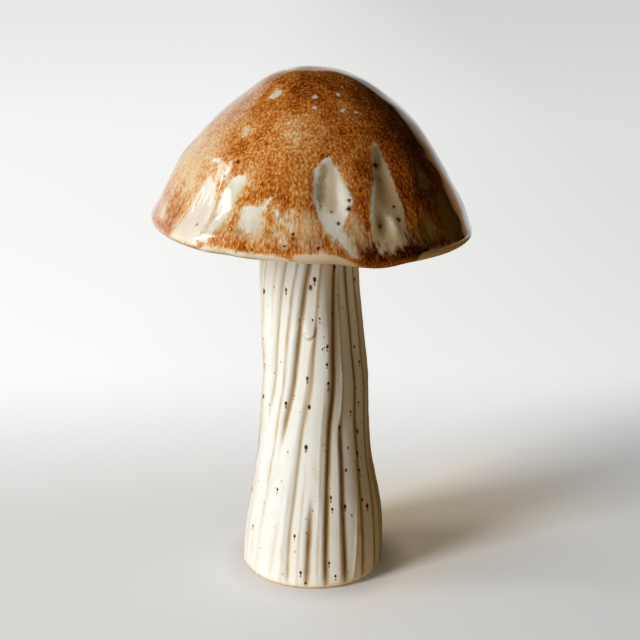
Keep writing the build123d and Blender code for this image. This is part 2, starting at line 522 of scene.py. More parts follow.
class CapSizes(bpy.types.PropertyGroup):
    """Sizes of the domed cap and of the collar inside it."""

    crown: length("Crown Height", "Height of the cap's top", 0.200)
    radius: length("Radius", "Radius at the rim", 0.0611)
    drop: length("Drop", "Crown to rim", 0.0566)
    power: amount("Power", "Power of the radius that the dome falls by", 2.14, min=1.0)
    wall: length("Wall", "Thickness of the wall", 0.0055)
    tilt: length("Tilt", "How much lower the right side of the rim hangs", 0.0021)
    wave: length("Rim Wave", "Height of the rim's waves", 0.0010)
    wave_count: bpy.props.IntProperty(
        name="Wave Count", description="Waves round the rim", default=5, min=0
    )
    wave_azimuth: amount(
        "Wave Azimuth", "Direction of one low wave, from the front", radians(25.0), subtype="ANGLE"
    )
    crown_flat: length("Crown Flat", "Radius of the level spot on the crown", 0.003)
    collar_bore: length("Collar Bore", "Radius that clears the neck", 0.0168)
    collar_radius: length("Collar Radius", "Outer radius of the collar", 0.0218)
    collar_low: length("Collar Height", "Height of the collar's lower end", 0.172)
    ledge: length("Ledge Height", "Height of the ledge that rests on the cork", 0.185)
    ledge_hole: length("Ledge Hole", "Radius of the hole in the ledge", 0.0108)


class GlazeColours(bpy.types.PropertyGroup):
    """Colours of the glazes, the clay and the cork."""

    # Reached mostly where the cap's right side is darkened as painted shade.
    deep_rust_and_shade: tint("Deep Rust", "Cap glaze where it is thickest", (0.035, 0.007, 0.001))
    rust_dark: tint("Dark Rust", "Cap glaze where it is thick", (0.20, 0.042, 0.003))
    rust: tint("Rust", "Cap glaze", (0.42, 0.110, 0.010))
    orange: tint("Orange", "Cap glaze where it thins", (0.60, 0.205, 0.034))
    tan: tint("Tan", "Mottle in the cap glaze", (0.69, 0.365, 0.130))
    straw: tint("Straw", "Palest mottle and the pools' borders", (0.74, 0.58, 0.33))
    cream: tint("Cream", "Pale pools on the cap", (0.84, 0.80, 0.70))
    celadon: tint("Celadon", "Thick pale glaze", (0.66, 0.64, 0.49))
    # Olive also paints shade on the shaded walls of the pools' dents.
    olive: tint("Olive", "Thick glaze in the pools' hollows", (0.34, 0.245, 0.105))
    # Tawny also paints the floor's reflection on the right of the lip's underside.
    tawny: tint("Tawny", "Thin brown pools on the cap", (0.70, 0.47, 0.23))
    moss: tint("Moss", "Dark patches on the cap", (0.31, 0.215, 0.035))
    beige: tint("Beige", "Thin pale glaze", (0.66, 0.50, 0.33))
    blush: tint("Blush", "Pale glaze that the clay tints pink", (0.86, 0.73, 0.61))
    stem: tint("Stem", "Stem glaze", (0.88, 0.885, 0.875))
    stem_warm: tint("Warm Stem", "Stem glaze where it is thin", (0.81, 0.74, 0.62))
    stem_cool: tint("Cool Stem", "Stem glaze where it is thick", (0.78, 0.79, 0.73))
    ridge: tint("Ridge", "Stem glaze on the ridges", (0.58, 0.42, 0.23))
    # The creases' brown, darkened to paint their shade as well as the glaze that pools there.
    pooled_and_shaded: tint("Pooled", "Glaze pooled in the stem's cuts", (0.20, 0.105, 0.025))
    iron: tint("Iron", "Dark specks", (0.035, 0.006, 0.002))
    bleed: tint("Bleed", "Brown round the specks", (0.32, 0.10, 0.025))
    clay: tint("Clay", "Bare stoneware", (0.55, 0.40, 0.27))
    cork: tint("Cork", "Seat ring", (0.50, 0.31, 0.16))
    cork_dark: tint("Dark Cork", "Grain in the seat ring", (0.22, 0.11, 0.05))


class StudioSettings(bpy.types.PropertyGroup):
    """Camera, floor and light."""

    camera_side: amount("Camera Side", "Camera to the right of the stem", 0.0027, unit="LENGTH")
    camera_back: length("Camera Distance", "Camera in front of the stem", 0.520)
    camera_height: length("Camera Height", "Camera over the floor", 0.260)
    camera_pitch: amount("Pitch", "Camera's angle below the horizon", radians(16.89), subtype="ANGLE")
    lens: amount("Lens", "Focal length on the sensor", 78.4, unit="CAMERA")
    key_power: amount("Key", "Power of the large soft light", 45.5, unit="POWER")
    window_power: amount("Window", "Power of the small light at the side", 0.8, unit="POWER")
    foot_glow: amount("Foot Glow", "Strength of the floor's glow beside the object", 0.285)
    near_glow: amount("Near Glow", "Strength that the glow gains behind the object", 0.35)
    far_glow: amount("Far Glow", "Strength that the glow gains far away", 0.09)
    edge_glow: amount("Edge Glow", "Strength that the glow gains at the floor's edge", 0.06)
    daylight: tint("Daylight", "Colour of the main light", (0.965, 0.985, 1.00))
    floor: tint("Floor", "Colour of the floor", (0.68, 0.665, 0.645))
    glow: tint("Glow", "Light of the floor away from the object", (0.985, 1.0, 1.0))
    warmth: tint("Warmth", "Light of the floor in the object's shadow", (1.00, 0.83, 0.58))
    bounce: tint("Bounce", "Colour of the lit floor's light on the object", (1.00, 0.87, 0.64))
    shade: tint("Shade", "Colour of the shaded floor's light on the object", (0.54, 0.25, 0.005))
    backdrop: tint("Backdrop", "Colour beyond the floor", (0.80, 0.80, 0.80))
    sky: tint("Bright Side", "Reflected light from behind and from the left", (1.0, 0.985, 0.955))
    dusk: tint("Brown Side", "Reflected light from the right", (1.0, 0.52, 0.20))
    room: tint("Dim Side", "Light from everywhere else", (0.022, 0.012, 0.002))


def swell(distance):
    """Smooth hump: half of one plus a cosine, one at the middle, nothing past a distance of one."""
    return (1.0 + np.cos(np.pi * np.clip(np.abs(distance), 0.0, 1.0))) / 2.0


def ease(value, low, high):
    """Smooth step from 0 at low to 1 at high: three squares less two cubes of the share between."""
    share = np.clip((value - low) / (high - low), 0.0, 1.0)
    return share * share * (3.0 - 2.0 * share)


def from_front(azimuth):
    """Angle about +Z from +X, for degrees counted from the front towards the right."""
    return np.radians(np.asarray(azimuth, float) - 90.0)


def wrapped(angle):
    """The same angle between -pi and pi."""
    return (angle + np.pi) % (2.0 * np.pi) - np.pi


def off_azimuth(angle, azimuth, half_angle):
    """Angle from an azimuth, counted in a half angle; both are given in degrees."""
    return wrapped(angle - from_front(azimuth)) / np.radians(half_angle)


def ripple(points, wavelength, seed):
    """Seeded waviness with a mean square of one: plane waves in random directions added up."""
    draw = np.random.default_rng(seed)
    heading = draw.normal(size=(WAVES, 3))
    heading /= np.linalg.norm(heading, axis=1, keepdims=True)
    heading *= 2.0 * np.pi / wavelength * draw.uniform(*WAVE_SPREAD, size=(WAVES, 1))
    phase = draw.uniform(0.0, 2.0 * np.pi, WAVES)
    return np.cos(points @ heading.T + phase).sum(-1) * np.sqrt(2.0 / WAVES)


def uneven(points, ripples):
    """Sum of the listed ripples, each times its height."""
    return sum(height * ripple(points, wavelength, seed) for height, wavelength, seed in ripples)


def around_angles(count=AROUND):
    """Even angles about the axis, the first one not repeated."""
    return np.arange(count) * 2.0 * np.pi / count


def turned(radius, angle, height):
    """Points at a radius, an angle about the axis and a height."""
    radius, angle, height = np.broadcast_arrays(radius, angle, height)
    return np.stack([radius * np.cos(angle), radius * np.sin(angle), height], axis=-1)


def ring_faces(rows, columns, closed):
    """Quads between neighbouring rows of a grid closed round its columns, and its rows if asked."""
    last = rows if closed else rows - 1
    row = np.arange(last)[:, None]
    column = np.arange(columns)[None, :]
    above, beside = (row + 1) % rows, (column + 1) % columns
    corners = [row * columns + column, row * columns + beside]
    corners += [above * columns + beside, above * columns + column]
    return np.stack(np.broadcast_arrays(*corners), axis=-1).reshape(-1, 4)


def pole_faces(rows, columns):
    """Triangles from a grid's first and last row to two points that follow its own."""
    start, end = rows * columns, rows * columns + 1
    here = np.arange(columns)
    beside = (here + 1) % columns
    top = (rows - 1) * columns
    first = np.stack([np.full(columns, start), beside, here], axis=-1)
    last = np.stack([np.full(columns, end), top + here, top + beside], axis=-1)
    return first.tolist() + last.tolist()


def add_values(mesh, values, rows, columns, poles):
    """Point attributes of a grid's mesh: numbers or vectors; a pole takes the mean of its row."""
    for key, value in values.items():
        wide = value.ndim == 3
        value = value.reshape(rows * columns, -1)
        if poles is not None:
            ends = [value[:columns].mean(0), value[-columns:].mean(0)]
            value = np.concatenate([value, ends])
        layer = mesh.attributes.new(key, "FLOAT_VECTOR" if wide else "FLOAT", "POINT")
        layer.data.foreach_set("vector" if wide else "value", value.astype(np.float32).ravel())


def add_piece(name, body, node, material, grid, poles=None, values=None):
    """Mesh of a grid of rows round the axis; poles close its first and last row, or else its rows join."""
    rows, columns = grid.shape[:2]
    points = grid.reshape(-1, 3)
    faces = ring_faces(rows, columns, poles is None).tolist()
    if poles is not None:
        points = np.concatenate([points, np.asarray(poles, float)])
        faces += pole_faces(rows, columns)
    mesh = bpy.data.meshes.new(name)
    mesh.from_pydata(points.tolist(), [], faces)
    if mesh.validate(verbose=False):
        raise RuntimeError(f"{name} has faces that Blender had to repair")
    add_values(mesh, values or {}, rows, columns, poles)
    mesh.polygons.foreach_set("use_smooth", np.ones(len(mesh.polygons), bool))
    mesh.materials.append(material)
    piece = bpy.data.objects.new(name, mesh)
    bpy.context.scene.collection.objects.link(piece)
    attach(piece, body)
    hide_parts(node)
    return piece


def crest_radius(sizes, height):
    """Radius over the stem's ridges: waist, a taper with the height squared and a bell-shaped flare."""
    taper = sizes.taper * (1.0 - (height / sizes.taper_height) ** 2)
    flare = sizes.flare * np.exp(-((height / sizes.flare_height) ** 2))
    return sizes.waist + taper + flare


def along_stem(sizes, lines, angle, height):
    """Distance across from each line on the stem, how far it has faded in, and its amounts.

    A line is the parabola through its three azimuths, and repeats on the back half. It fades at a
    start above the foot and at its end.
    """
    middle = height * (FLUTE_TOP - height) / (FLUTE_MIDDLE * (FLUTE_TOP - FLUTE_MIDDLE))
    foot = (FLUTE_MIDDLE - height) * (FLUTE_TOP - height) / (FLUTE_MIDDLE * FLUTE_TOP)
    top = height * (height - FLUTE_MIDDLE) / (FLUTE_TOP * (FLUTE_TOP - FLUTE_MIDDLE))
    for back in (0.0, 180.0):
        for at_foot, at_middle, at_top, start, end, *amounts in lines:
            line = from_front(at_foot * foot + at_middle * middle + at_top * top + back)
            across = wrapped(angle - line) * crest_radius(sizes, height)
            fade = 1.0 - ease(height, end - FLUTE_FADE, end)
            if start > 0.0:
                fade = fade * ease(height, start, start + FLUTE_FADE)
            yield across, fade, *amounts


def pale_foot(angle, height):
    """How thick the glaze lies on the left of the foot, where the lines under it stay pale."""
    azimuth, thin, thick, low, high = PALE_FOOT
    left = ease(np.cos(angle - from_front(azimuth)), thin, thick)
    return left * (1.0 - ease(height, low, high))


def flute_cuts(sizes, angle, height):
    """Depth of the carving and how brown its creases are, with glaze that pools there and painted shade,
    at an angle and a height.

    Across a cut's line the depth falls off as a bell, narrow on the left and wide on the right, and
    the brown as a bell that is wider where it is stronger. The deepest cut counts.
    """
    cut = np.zeros(np.broadcast(angle, height).shape)
    stain_and_shade = np.zeros_like(cut)
    run_in = FOOT_CUT + (1.0 - FOOT_CUT) * ease(height, 0.0, FOOT_RUN_IN)
    for across, fade, depth, share in along_stem(sizes, CARVED_FLUTES, angle, height):
        fade = fade * run_in
        side = np.abs(across) / np.where(across < 0.0, STEEP_SIDE, GENTLE_SIDE)
        cut = np.maximum(cut, depth * fade * np.exp(-(side**CUT_POWER)))
        bell = np.exp(-((across / (STAIN_AND_SHADE_WIDTH * (1.0 + share) / 2.0)) ** 2))
        stain_and_shade = np.maximum(stain_and_shade, share * fade * bell)
    return cut, stain_and_shade * (1.0 - PALE_STAIN_AND_SHADE * pale_foot(angle, height))


def ridge_lines(sizes, angle, height):
    """Rise of the thin ridges and how bare they are: a narrow bell across each one's line."""
    rise = np.zeros(np.broadcast(angle, height).shape)
    bare = np.zeros_like(rise)
    highest = max(most for *_, most in THIN_RIDGES)
    for across, fade, most in along_stem(sizes, THIN_RIDGES, angle, height):
        bell = fade * np.exp(-((across / RIDGE) ** 2))
        rise = np.maximum(rise, most * bell)
        bare = np.maximum(bare, most / highest * bell)
    return rise, bare * (1.0 - PALE_RIDGE * pale_foot(angle, height))


def glaze_drop(sizes, angle, height):
    """Rise of the glaze drop and the brown line under it, a painted shadow with some glaze that pools.

    The rise is a hump across, round and steep at its lower end, fading upwards. The brown line is a
    narrow bell along that end.
    """
    azimuth, low, half, rise = GLAZE_DROP
    across = wrapped(angle - from_front(azimuth)) * crest_radius(sizes, height) / half
    end = low + half * across**2
    above_end = (height - end) / half
    drop = rise * swell(across) ** DROP_ROUND * ease(above_end, *DROP_LIP)
    drop = drop * (1.0 - ease((height - low) / half, *DROP_FADE))
    under = np.exp(-((above_end / DROP_SHADE_WIDTH) ** 2))
    return drop, DROP_STAIN_AND_SHADE * under * (1.0 - ease(np.abs(across), *DROP_SHADE_ENDS))


def stem_point(sizes, angle, height, cut):
    """Point of the stem's wall: its radius less a cut and the flats, moved by the bell-shaped sways."""
    inward = cut
    for azimuth, half_angle, level, half, depth in STEM_FLATS:
        across = off_azimuth(angle, azimuth, half_angle)
        inward = inward + depth * swell(across) * swell((height - level) / half)
    point = turned(crest_radius(sizes, height) - inward, angle, height)
    for level, spread, shift in STEM_SWAYS:
        point[..., 0] += shift * np.exp(-(((point[..., 2] - level) / spread) ** 2))
    return point


def stem_rows(sizes):
    """Profile of the stem from under its foot, up the wall, over the neck and down the hollow.

    Gives the radius, the height, and whether the row is on the carved wall.
    """
    soft = SOFT_EDGE
    bead = soft * np.array([0.0, SOFT_MIDDLE, 1.0])
    bend = np.linspace(0.0, np.pi / 2.0, EDGE_ROWS)
    base = crest_radius(sizes, 0.0) - sizes.foot_round
    under_r = np.linspace(sizes.disc + soft, base, UNDER_ROWS)[:-1]
    under_z = np.zeros(len(under_r))
    edge_z = sizes.foot_round * (1.0 - np.cos(bend))
    edge_r = np.minimum(base + sizes.foot_round * np.sin(bend), crest_radius(sizes, edge_z))
    _, drop_low, drop_half, _ = GLAZE_DROP
    drop_z = drop_low + drop_half * np.linspace(*DROP_SPAN, DROP_ROWS)
    wall_z = np.linspace(sizes.foot_round, sizes.shoulder, WALL_ROWS)[1:]
    wall_z = np.sort(np.concatenate([wall_z, drop_z]))
    wall_r = crest_radius(sizes, wall_z)
    shoulder = crest_radius(sizes, sizes.shoulder)
    over_r = np.array([SHOULDER_STEP * shoulder + (1.0 - SHOULDER_STEP) * sizes.neck, sizes.neck])
    over_z = sizes.shoulder + soft * np.array([SHOULDER_STEP, 1.0 + SHOULDER_STEP])
    neck_z = np.linspace(over_z[-1], sizes.height - soft, NECK_ROWS)[1:]
    neck_r = np.full(len(neck_z), sizes.neck)
    rim_r = np.concatenate([sizes.neck - bead[1:], sizes.neck_bore + bead[::-1]])
    rim_z = sizes.height - np.concatenate([bead[1::-1], bead])
    hollow_z = np.linspace(sizes.height - soft, sizes.disc_depth, HOLLOW_ROWS)[1:]
    hollow_r = sizes.foot_bore - (sizes.foot_bore - sizes.neck_bore) / sizes.height * hollow_z
    rebate_r = np.array([sizes.disc, sizes.disc])
    rebate_z = np.array([sizes.disc_depth, soft])
    radius = np.concatenate([under_r, edge_r, wall_r, over_r, neck_r, rim_r, hollow_r, rebate_r])
    height = np.concatenate([under_z, edge_z, wall_z, over_z, neck_z, rim_z, hollow_z, rebate_z])
    carved = np.zeros(len(radius))
    carved[len(under_z) : len(under_z) + len(edge_z) + len(wall_z)] = 1.0
    return radius, height, carved


def stem_grid(sizes):
    """Points of the stem and the values that its glaze reads.

    The wall's rows follow the carving and the sways; the neck, hollow and underside stay round.
    """
    radius, height, carved = (row[:, None] for row in stem_rows(sizes))
    angle = around_angles(STEM_AROUND)[None, :]
    plain = turned(radius, angle, height)
    # The creases' brown: glaze that pools there and painted shade.
    cut, stain_and_shade = flute_cuts(sizes, angle, height)
    hollow = cut / max(depth for *_, depth, _ in CARVED_FLUTES)
    rise, bare = ridge_lines(sizes, angle, height)
    # The line under the glaze drop is painted shadow.
    drop, under = glaze_drop(sizes, angle, height)
    stain_and_shade = np.maximum(stain_and_shade, under)
    cut = cut - rise - drop + uneven(plain, STEM_RIPPLES)
    edge = np.where(carved > 0.0, crest_radius(sizes, height) - radius, 0.0)
    shallow = 1.0 - ease(edge, 0.0, sizes.foot_round / 2.0)
    wall = stem_point(sizes, angle, height, cut * shallow + edge)
    grid = np.where(carved[..., None] > 0.0, wall, plain)
    worn = height + uneven(plain, GLAZE_LINE_RIPPLES)
    glazed = carved * (1.0 - ease(worn, sizes.glaze_line - GLAZE_END, sizes.glaze_line))
    values = {
        "stain_and_shade": stain_and_shade * carved * shallow,
        "hollow": hollow * carved,
        "bare": bare * carved,
        "glazed": glazed * ease(height, *WIPED_EDGE),
    }
    return grid, values


def cap_point(sizes, angle, share, depth, reach):
    """Point of the cap at an angle, a share of the radius, a depth into the wall and a reach past the lip.

    The dome falls by a power of the share. Dents push the wall in along the dome's normal, the
    smaller ones fade out through the wall, and the rim's tilt, waves and drops lower it.
    """
    angle, share, depth, reach = np.broadcast_arrays(angle, share, depth, reach)
    radius = sizes.radius * share
    height = sizes.crown - sizes.drop * share**sizes.power
    slope = sizes.drop * sizes.power * share ** (sizes.power - 1.0) / sizes.radius
    out, up = slope / np.hypot(slope, 1.0), 1.0 / np.hypot(slope, 1.0)
    face = 1.0 - ease(depth, 0.0, sizes.wall)
    inward = depth.astype(float)
    for dents, strength in ((WALL_DENTS, 1.0), (FACE_DENTS, face)):
        for azimuth, centre, half_angle, half_share, press in dents:
            across = off_azimuth(angle, azimuth, half_angle)
            inward = inward + strength * press * swell(across) * swell((share - centre) / half_share)
    inward = inward + uneven(turned(radius, angle, height), CAP_RIPPLES) * face
    past_flat = np.maximum(share - sizes.crown_flat / sizes.radius, 0.0)
    wave = np.cos(sizes.wave_count * (angle - from_front(np.degrees(sizes.wave_azimuth))))
    low = (sizes.tilt * np.cos(angle) + sizes.wave * wave) * past_flat**2
    for azimuth, half_angle, drop in RIM_DROPS:
        low = low + drop * swell(off_azimuth(angle, azimuth, half_angle)) * share**RIM_POWER
    return turned(radius - inward * out + reach * up, angle, height - inward * up - reach * out - low)


def cap_rows(sizes):
    """Share, depth and reach of the cap's rows: inner face, round the lip, outer face to the crown."""
    inner = np.linspace(INNER_START, 1.0, INNER_ROWS)[:-1]
    turn = np.linspace(0.0, np.pi, LIP_ROWS)
    outer = np.linspace(1.0, 0.0, OUTER_ROWS)[1:-1] ** OUTER_POWER
    lip_depth = sizes.wall * (1.0 + np.cos(turn)) / 2.0
    lip_reach = sizes.wall * np.sin(turn) / 2.0
    share = np.concatenate([inner, np.ones(len(turn)), outer])
    depth = np.concatenate([np.full(len(inner), sizes.wall), lip_depth, np.zeros(len(outer))])
    reach = np.concatenate([np.zeros(len(inner)), lip_reach, np.zeros(len(outer))])
    return share, depth, reach


def pool_field(sizes, pools, angle, low):
    """Signed distance inside the nearest pool's outline, in metres, and negative outside all.

    At a share the outline's borders are interpolated between its rows; the distance across is an
    angle times the radius there, and past the first or last row the way along the dome is added.
    """
    field = np.full(np.broadcast(angle, low).shape, -POOL_REACH)
    for rows in pools:
        share, left, right = np.array(rows).T
        middle = (left.mean() + right.mean()) / 2.0
        azimuth = middle + np.degrees(wrapped(angle - from_front(middle)))
        from_left = azimuth - np.interp(low, share, left)
        from_right = np.interp(low, share, right) - azimuth
        across = np.radians(np.minimum(from_left, from_right)) * sizes.radius * low
        beyond = np.maximum(share[0] - low, low - share[-1]) * PROFILE_LENGTH
        outside = np.hypot(np.minimum(across, 0.0), np.maximum(beyond, 0.0))
        inside = np.minimum(across, np.maximum(-beyond, 0.0) + POOL_END)
        field = np.maximum(field, np.where((beyond > 0.0) | (across < 0.0), -outside, inside))
    return field


def all_round(pools):
    """The pools, and copies of them turned about the axis that stay out of the front."""
    made = list(pools)
    for turn in POOL_TURNS:
        for rows in pools:
            moved = [(share, left + turn, right + turn) for share, left, right in rows]
            ends = [(side + 180.0) % 360.0 - 180.0 for _, *sides in moved for side in sides]
            if min(abs(end) for end in ends) > FRONT:
                made.append(moved)
    return made


def tone_field(angle, share):
    """One half plus the sum of the clouds: each one's strength times its humps across and along."""
    field = np.full(np.broadcast(angle, share).shape, 0.5)
    for azimuth, centre, half_angle, half_share, strength in TONE_CLOUDS:
        across = off_azimuth(angle, azimuth, half_angle)
        field = field + strength * swell(across) * swell((share - centre) / half_share)
    return field


def flow_points(sizes, angle, share):
    """Two maps of the dome for patterns in its glaze.

    The first is flat and polar: its radius grows as fast as the dome's profile at the crown and
    slower lower down, so a pattern on it stretches downwards a little. The second is a tube whose
    height grows at a part of the profile's pace, so a pattern on it is drawn out into strands.
    """
    fine = np.linspace(0.0, FLOW_REACH, FLOW_STEPS)
    steps = np.hypot(np.diff(sizes.radius * fine), np.diff(sizes.drop * fine**sizes.power))
    pace = 1.0 - FLOW_SLOWER * ease(fine, *FLOW_SLOWS)
    flat = np.concatenate([[0.0], np.cumsum(steps * (pace[1:] + pace[:-1]) / 2.0)])
    down = np.concatenate([[0.0], np.cumsum(steps)]) * STRAND_PACE
    strands = turned(STRAND_RADIUS * sizes.radius, angle, np.interp(share, fine, down))
    return turned(np.interp(share, fine, flat), angle, 0.0), strands


def cap_grid(sizes):
    """Points of the cap, its two poles, and the values that its glaze reads."""
    share, depth, reach = (row[:, None] for row in cap_rows(sizes))
    angle = around_angles()[None, :]
    grid = cap_point(sizes, angle, share, depth, reach)
    inner = cap_point(sizes, 0.0, 0.0, sizes.wall, 0.0)
    outer = cap_point(sizes, 0.0, 0.0, 0.0, 0.0)
    shape = grid.shape[:2]
    low = share + reach / sizes.radius
    lip = 1.0 - LIP_CALM * ease(low, *LIP_BAND)
    round_lip = np.arccos(np.clip(1.0 - 2.0 * depth / sizes.wall, -1.0, 1.0)) * sizes.wall / 2.0
    along = np.broadcast_to(share + round_lip / PROFILE_LENGTH, shape)
    flow, strands = flow_points(sizes, angle, along)
    values = {name: pool_field(sizes, all_round(pools), angle, low) for name, pools in POOLS.items()}
    values["tone"] = tone_field(angle, low)
    values["flow"] = flow
    values["strands"] = strands
    values["inside"] = np.broadcast_to(ease(depth / sizes.wall, *INSIDE_BAND), shape)
    values["drip"] = np.broadcast_to(ease(low, *DRIP_BAND) * lip, shape)
    values["lower"] = np.broadcast_to(ease(low, *STRAND_BAND) * lip, shape)
    return grid, (inner, outer), values


def loop_grid(radius, height):
    """Circles of a closed profile carried round the axis."""
    return turned(np.asarray(radius)[:, None], around_angles()[None, :], np.asarray(height)[:, None])


def disc_profile(sizes):
    """Radii and heights of the foot disc: turned underside, softened edge, flat top.

    The turning marks are a cosine of the radius that rises from the floor and ends before the edge.
    """
    soft = SOFT_DISC
    out = np.linspace(DISC_MIDDLE, sizes.disc - soft, DISC_ROWS)
    marks = TURNING_DEPTH * (1.0 - np.cos(2.0 * np.pi * out / TURNING_PITCH))
    marks = marks * ease(sizes.disc - out, *TURNING_EDGE)
    low_edge = sizes.disc - SOFT_MIDDLE * soft / 2.0
    edge_r = np.array([low_edge, sizes.disc, sizes.disc, sizes.disc - soft])
    edge_z = np.array([SOFT_MIDDLE * soft, soft, sizes.disc_depth - soft, sizes.disc_depth])
    over = np.linspace(sizes.disc - 2.0 * soft, DISC_MIDDLE, DISC_TOP_ROWS)
    radius = np.concatenate([out, edge_r, over])
    height = np.concatenate([marks, edge_z, np.full(len(over), sizes.disc_depth)])
    return radius, height


def rounded_ring(inner, outer, low, high, soft):
    """Radii and heights of a rectangle's outline with each corner rounded by a quarter circle."""
    turn = np.linspace(0.0, np.pi / 2.0, CORNER_POINTS)
    corners = ((outer, low, -0.5), (outer, high, 0.0), (inner, high, 0.5), (inner, low, 1.0))
    radius, height = [], []
    for at_radius, at_height, start in corners:
        way_r = -1.0 if at_radius == outer else 1.0
        way_z = 1.0 if at_height == low else -1.0
        radius.append(at_radius + way_r * soft + soft * np.cos(turn + start * np.pi))
        height.append(at_height + way_z * soft + soft * np.sin(turn + start * np.pi))
    return np.concatenate(radius), np.concatenate(height)


def dome_under(sizes, radius):
    """Height of the dome's inner face at a radius near the crown, where no dent reaches."""
    share = radius / sizes.radius
    return sizes.crown - sizes.drop * share**sizes.power - sizes.wall


def collar_profile(sizes):
    """Radii and heights of the collar: lower end, outside, bed under the dome, hole, ledge and bore."""
    soft, part = SOFT_EDGE, SOFT_MIDDLE * SOFT_EDGE
    low, ledge = sizes.collar_low, sizes.ledge
    bore, outer, hole = sizes.collar_bore, sizes.collar_radius, sizes.ledge_hole
    top = np.linspace(outer, hole, COLLAR_ROWS)
    radius = [bore + soft, outer - soft, outer - part, outer, *top]
    height = [low, low, low + part, low + soft, *(dome_under(sizes, top) + COLLAR_BED)]
    radius += [hole, hole + part, hole + soft, bore, bore, bore + part]
    height += [ledge + soft, ledge + part, ledge, ledge, low + soft, low + part]
    return radius, height


class Nodes:
    """Adds nodes to a tree and links them."""

    def __init__(self, tree):
        self.tree = tree

    def node(self, kind, inputs, out=0, **settings):
        """One node; an input is linked if it is a socket and otherwise set."""
        made = self.tree.nodes.new(kind)
        for key, value in settings.items():
            setattr(made, key, value)
        for key, value in inputs.items():
            self.put(made.inputs[key], value)
        return made.outputs[out]

    def put(self, socket, value):
        """Links or sets one input."""
        if isinstance(value, bpy.types.NodeSocket):
            self.tree.links.new(value, socket)
        elif socket.type == "RGBA":
            socket.default_value = (*value[:3], 1.0)
        else:
            socket.default_value = value

    def place(self, kind="Object"):
        """Coordinates, in metres."""
        return self.node("ShaderNodeTexCoord", {}, kind)

    def axes(self, vector):
        """The three parts of a vector."""
        made = self.node("ShaderNodeSeparateXYZ", {0: vector}).node
        return made.outputs["X"], made.outputs["Y"], made.outputs["Z"]

    def math(self, operation, first, second=0.0):
        """One sum."""
        return self.node("ShaderNodeMath", {0: first, 1: second}, operation=operation)

    def chain(self, operation, first, *others):
        """One kind of sum carried through several values."""
        for other in others:
            first = self.math(operation, first, other)
        return first

    def product(self, *values):
        """Values multiplied."""
        return self.chain("MULTIPLY", *values)

    def total(self, *values):
        """Values added up."""
        return self.chain("ADD", *values)

    def dimmed(self, value, place, share):
        """A value that loses a share of itself where a place is one."""
        return self.product(value, self.math("SUBTRACT", 1.0, self.product(place, share)))

    def along(self, x, y, heading):
        """Distance along a heading on the floor."""
        return self.total(self.product(x, heading[0]), self.product(y, heading[1]))

    def step(self, value, low, high):
        """Smooth step from 0 at low to 1 at high."""
        inputs = {"Value": value, "From Min": low, "From Max": high}
        return self.node("ShaderNodeMapRange", inputs, interpolation_type="SMOOTHSTEP")

    def steps(self, *bands):
        """Product of smooth steps: each one's value, its low and its high."""
        return self.product(*[self.step(*band) for band in bands])

    def largest(self, *bands):
        """Largest of smooth steps: each one's value, its low and its high."""
        return self.chain("MAXIMUM", *[self.step(*band) for band in bands])

    def slide(self, value, low, high, start, end):
        """Straight change from a start at low to an end at high."""
        inputs = {"Value": value, "From Min": low, "From Max": high, "To Min": start, "To Max": end}
        return self.node("ShaderNodeMapRange", inputs)

    def mix(self, factor, first, second):
        """Colour between two others."""
        return self.node("ShaderNodeMix", {0: factor, 6: first, 7: second}, 2, data_type="RGBA")

    def shader(self, kind, colour, strength=None):
        """A plain shader of one colour."""
        inputs = {"Color": colour} if strength is None else {"Color": colour, "Strength": strength}
        return self.node(kind, inputs)

    def either(self, factor, first, second):
        """Shader between two others."""
        return self.node("ShaderNodeMixShader", {0: factor, 1: first, 2: second})

    def glowing(self, colour, glow, strength):
        """Diffuse surface that gives off light as well."""
        diffuse = self.shader("ShaderNodeBsdfDiffuse", colour)
        light = self.shader("ShaderNodeEmission", glow, strength)
        return self.node("ShaderNodeAddShader", {0: diffuse, 1: light})

    def node_out(self, kind, surface):
        """The tree's output."""
        self.put(self.tree.nodes.new(kind).inputs["Surface"], surface)

    def ray(self, *kinds):
        """One for the kinds of ray that are named, nothing for others."""
        path = self.tree.nodes.new("ShaderNodeLightPath")
        return self.chain("MAXIMUM", *[path.outputs[kind] for kind in kinds])


